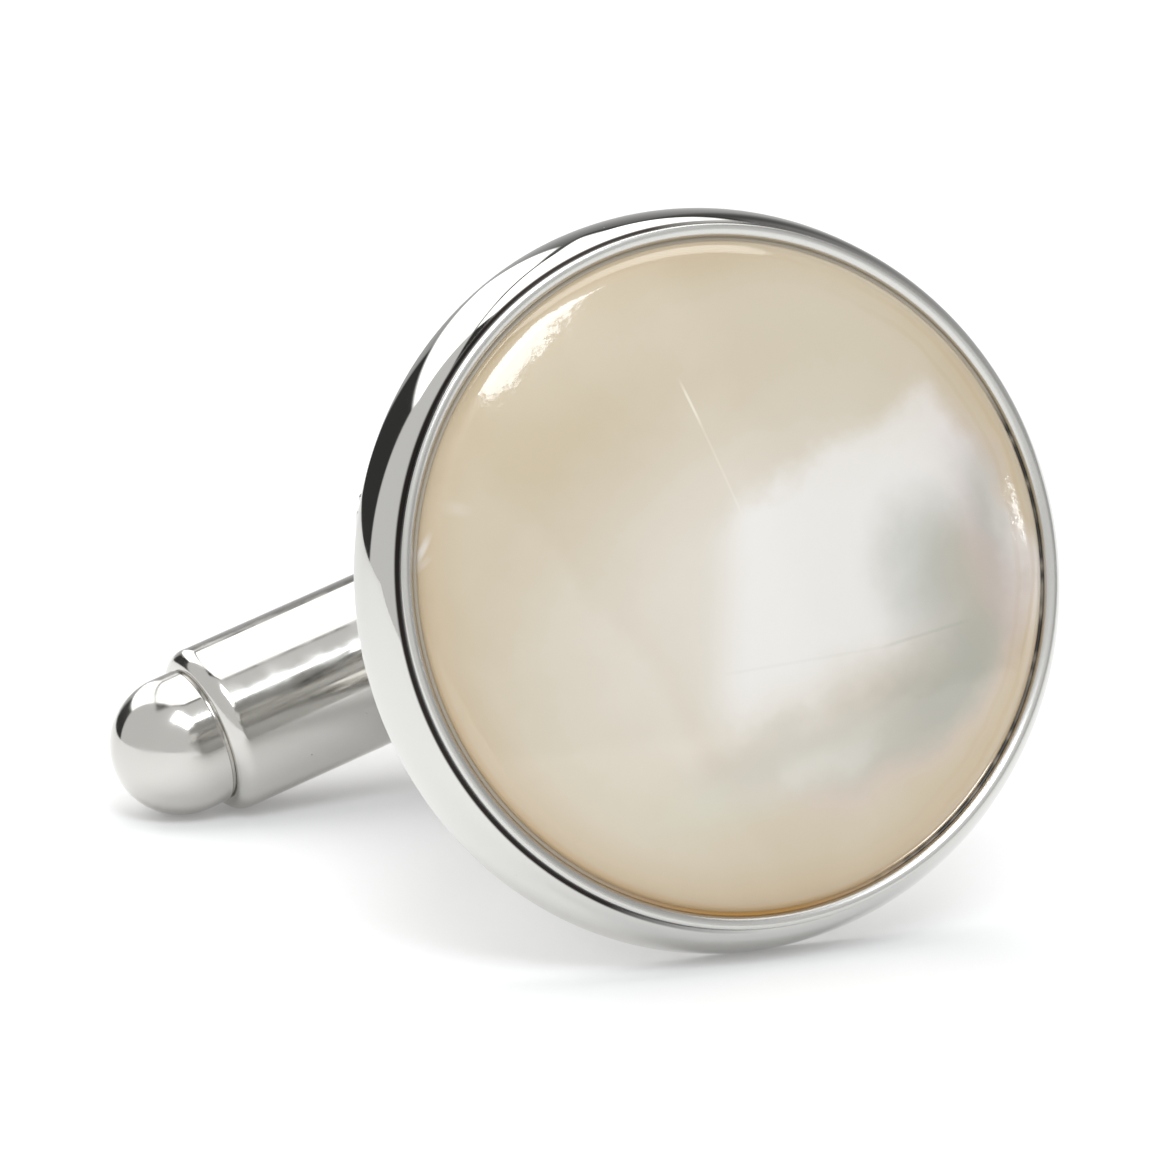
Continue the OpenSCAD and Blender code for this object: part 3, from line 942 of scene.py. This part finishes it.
cup = [cupShell(), collarShell()]
putPiece("cup", cup, cupMetal, "stud", "setting",
         marks=cupMarks(np.concatenate([points for points, quads in cup])))
shank, shankMarks = shankShell()
putPiece("shank", [shank], shankMetal, "stud", "setting", marks=shankMarks)
putPiece("pin", pinShells(), pinMetal, "stud", "pivot_pin")
bar = putPiece("toggleBar", [barShell()], barMetal, "toggle", "toggle_bar")
cutBore(bar, barMetal)
glue = glueShell()
putPiece("glueLine", [glue], glueMaterial, "stud", "pearl_cabochon", marks=glueMarks(glue[0]))
putPiece("pearlStone", [stoneShell()], pearl, "stud", "pearl_cabochon", uv=stoneMap)

# Floor, light and camera

studio = {
    "floor": "#E4E4E4", "floorRoughness": 0.45, "floorShine": 0.15, "floorGlow": 0.21,
    "floorHalf": 1.6,   # metres
    "softbox": 2.42, "cardLeft": 0.78, "cardFront": 0.8, "cardRight": 0.48,   # radiance
    "backLow": 0.57, "backHigh": 0.09, "dark": 0.045,
    "room": "#FDFDFC", "lamp": (0.91, 0.96, 1.0),   # the lamps are a little cooler
}


def layFloor():
    # a square of white card that glows a little, so that it stays white
    # away from the lamps
    half = studio["floorHalf"]
    corners = [(-half, -half, 0), (half, -half, 0), (half, half, 0), (-half, half, 0)]
    mesh = bpy.data.meshes.new("floor")
    mesh.from_pydata(corners, [], [(0, 1, 2, 3)])
    floor = addObject("floor", mesh)
    material, tree, shader = newMaterial("whiteCardTable")
    feed(tree, shader, {
        "Base Color": linear(studio["floor"]), "Roughness": studio["floorRoughness"],
        "Specular IOR Level": studio["floorShine"],
        "Emission Color": linear(studio["floor"]), "Emission Strength": studio["floorGlow"],
    })
    mesh.materials.append(material)


def toward(az, el):
    # unit vector az degrees round from the front to the right, el up
    a, e = math.radians(az), math.radians(el)
    return np.array([math.sin(a) * math.cos(e), -math.cos(a) * math.cos(e), math.sin(e)])


def edgePlane(first, second, inside):
    # normal of the plane through two directions, pointing to a third
    normal = np.cross(toward(*first), toward(*second))
    return normal * math.copysign(1, normal @ toward(*inside))


# normals of the planes that part the room, pointing into what they bound
roomEdges = {
    "cardFront": (0.5, -0.866, 0.0), "cardRight": (0.883, 0.469, 0.0),
    "cardLeft": edgePlane((-133, -5), (-142, 27), (-90, 0)),
    "backFront": (-0.174, 0.985, 0.0), "backLeft": (0.99, 0.139, 0.0), "backUp": (0, 0, 1),
    "boxesFront": edgePlane((-142, 27), (-125, 60), (180, 30)),
    "leftLow": edgePlane((-142, 27), (-178, 14), (180, 60)), "leftEnd": (-0.99, 0.139, 0.0),
    "rightFront": (0.326, 0.936, 0.139), "rightEnd": (-0.81, 0.155, 0.566),
    "rightLow": edgePlane((78, 55), (150, 44), (110, 80)),
    "gap": edgePlane((175, 34), (-125, 60), (180, 80)),
}


def lightRoom():
    # a product tent, drawn by direction: grey cards in front, two
    # overhead softboxes that reach down behind the object with a thin dark
    # gap between them, a grey back wall that darkens upwards, and darkness
    # low behind on the left and round the right softbox
    world = bpy.data.worlds.new("studio")
    bpy.context.scene.world = world
    world.use_nodes = True
    tree = world.node_tree
    tree.nodes.clear()
    place = addNode(tree, "TexCoord")

    def side(edge, soft=0.02, offset=0.0, facing=1):
        # 0 to 1 across an edge's plane, or the other way with facing -1
        normal = facing * np.array(roomEdges[edge], float) / np.linalg.norm(roomEdges[edge])
        dot = addNode(tree, "VectorMath", {"operation": "DOT_PRODUCT", 1: tuple(normal)},
                      {0: place.outputs["Generated"]})
        return addNode(tree, "MapRange",
                       {"interpolation_type": "SMOOTHSTEP",
                        "From Min": offset - soft, "From Max": offset + soft},
                       {"Value": dot.outputs["Value"]}).outputs[0]

    def join(first, *others, operation="MULTIPLY"):
        # where several parts of the room overlap, or with MAXIMUM any of them
        for other in others:
            first = addNode(tree, "Math", {"operation": operation}, {0: first, 1: other}).outputs[0]
        return first

    def blend(a, b, share):
        # from a to b as share goes from 0 to 1; each a number or an output
        return addNode(tree, "Mix", {"data_type": "FLOAT"}, {0: share, 2: a, 3: b}).outputs[0]

    card = blend(studio["cardLeft"], studio["cardFront"], side("cardFront", 0.3))
    card = blend(card, studio["cardRight"], side("cardRight", 0.06))
    inFront = join(side("cardLeft"), side("cardFront", 0.3), operation="MAXIMUM")
    back = blend(studio["backLow"], studio["backHigh"], side("backUp", 0.34, 0.3))
    walls = blend(studio["dark"], back, join(side("backFront", 0.05), side("backLeft", 0.03)))
    walls = blend(walls, card, inFront)
    boxesFront = side("boxesFront", 0.015)
    leftBox = join(side("leftLow"), side("gap", 0.012, 0.026, facing=-1), boxesFront, side("leftEnd", 0.015))
    rightBox = join(side("rightFront"), side("rightEnd"), side("gap", 0.012, 0.016),
                    side("rightLow", 0.03), boxesFront)
    darkFrame = join(side("rightFront", 0.02, -0.05), side("rightLow", 0.03, -0.06), side("gap"))
    room = blend(walls, studio["dark"], darkFrame)
    room = blend(room, studio["softbox"], join(leftBox, rightBox, operation="MAXIMUM"))
    shade = addNode(tree, "Background", {"Color": linear(studio["room"])}, {"Strength": room})
    addNode(tree, "OutputWorld", links={"Surface": shade.outputs[0]})


# ends as (degrees round from the front to the right, degrees up), width
# in degrees
lamps = {
    "frontLamp": {"start": (-36, 61.5), "end": (5.5, 42.5), "width": 19, "radiance": 7.4,
                  "shape": "RECTANGLE"},
    "rightStrip": {"start": (57, 10), "end": (57.5, 15.5), "width": 0.45, "radiance": 16,
                   "shape": "ELLIPSE"},
}


def hangLamp(name, start, end, width, radiance, shape):
    # a flat lamp a metre off, stretched between two directions; its power
    # is radiance * pi * its area
    first, last = toward(*start), toward(*end)
    out = (first + last) / np.linalg.norm(first + last)
    length = np.linalg.norm(last - first)
    along = (last - first) / length
    turn = np.stack([along, np.cross(out, along), out], 1)
    data = bpy.data.lights.new(name, "AREA")
    data.shape, data.size, data.size_y = shape, length, math.radians(width)
    data.color = studio["lamp"]
    filled = math.pi / 4 if shape == "ELLIPSE" else 1.0
    data.energy = radiance * math.pi * filled * data.size * data.size_y
    lamp = addObject(name, data)
    lamp.matrix_world = Matrix([[*turn[k], out[k]] for k in range(3)] + [[0, 0, 0, 1]])


shot = {
    "eye": (-78.58, -195.5, 54.75),   # mm, from the photograph
    "forward": (0.36343, 0.90527, -0.22002),
    "up": (0.09872, 0.19741, 0.97534),
    "focus": 5549.7,   # in pixels of the photograph
    "width": 760.0,   # of those pixels across the frame
    "sensor": 36.0,   # mm
    "nearest": 0.01, "furthest": 20,   # metres
}


def setCamera():
    # stands at the eye, turned so that its own axes are the frame's right
    # and up and the way back
    forward = np.array(shot["forward"]) / np.linalg.norm(shot["forward"])
    right = np.cross(forward, shot["up"])
    right /= np.linalg.norm(right)
    up = np.cross(right, forward)
    data = bpy.data.cameras.new("photoCamera")
    data.sensor_fit = "HORIZONTAL"
    data.sensor_width = shot["sensor"]
    data.lens = shot["sensor"] * shot["focus"] / shot["width"]
    data.clip_start, data.clip_end = shot["nearest"], shot["furthest"]
    eye = addObject("photoCamera", data)
    turn = np.stack([right, up, -forward], 1)
    eye.matrix_world = Matrix([[*turn[k], shot["eye"][k] * mm] for k in range(3)] + [[0, 0, 0, 1]])
    bpy.context.scene.camera = eye


bpy.context.scene.view_settings.view_transform = "Standard"
layFloor()
lightRoom()
for name, lamp in lamps.items():
    hangLamp(name, **lamp)
setCamera()
print("floor, light and camera set")
